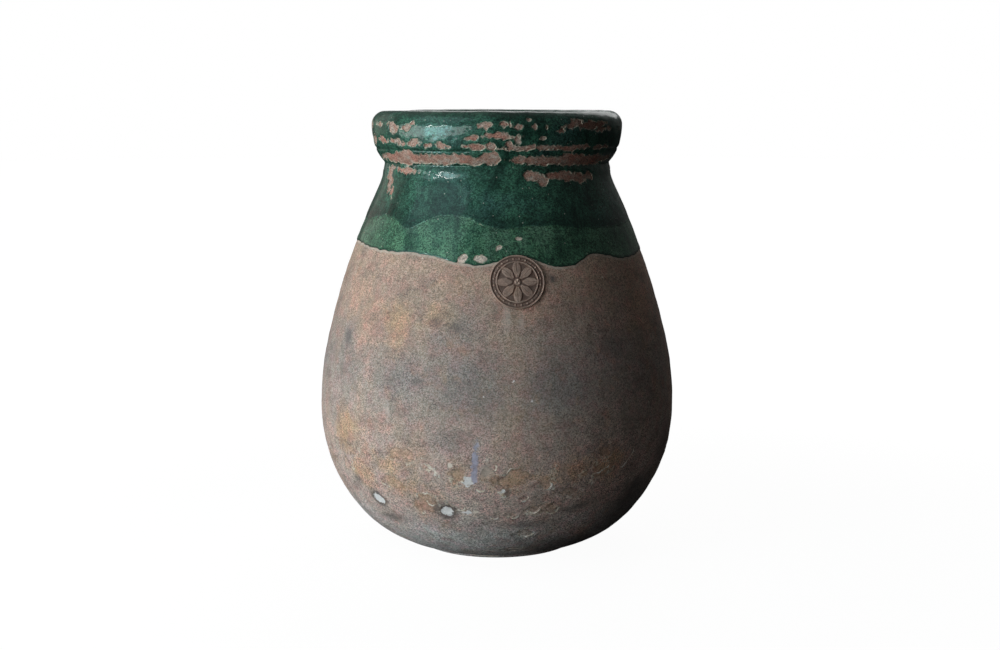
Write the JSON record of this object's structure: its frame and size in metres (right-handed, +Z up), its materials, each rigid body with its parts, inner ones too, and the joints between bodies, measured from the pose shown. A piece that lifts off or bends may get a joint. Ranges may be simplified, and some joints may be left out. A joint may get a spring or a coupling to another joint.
{
  "type": "olive jar",
  "caption": "Large egg-shaped earthenware storage jar with a small foot, short neck and thick moulded rim, green glaze on rim and shoulder, and a round stamped clay seal; open, no lid.",
  "frame": {"origin": "middle of the foot's flat underside, on the floor", "axes": "+Z up along the jar's axis, out of its mouth; the stamped seal faces -Y, a little towards +X"},
  "size_m": [0.4898, 0.4898, 0.6],
  "materials": {
    "clay": "bare weathered earthenware, matt, pinkish to grey brown",
    "seal_clay": "bare earthenware, matt, stamped relief",
    "light_green_glaze": "glossy lead glaze, mossy green, crazed and chipped",
    "dark_green_glaze": "glossy lead glaze, deep green, chipped on the rim",
    "lining_glaze": "thin glossy honey brown lining"
  },
  "bodies": {
    "root": {"foot_slab": "clay", "lower_wall": "clay", "under_belly_wall": "clay", "belly_wall": "clay", "shoulder_wall": "clay", "neck_collar": "clay", "rim_collar": "clay", "seal_medallion": "seal_clay", "first_glaze": "light_green_glaze", "second_glaze": "dark_green_glaze", "inner_glaze": "lining_glaze"}
  },
  "joints": []
}
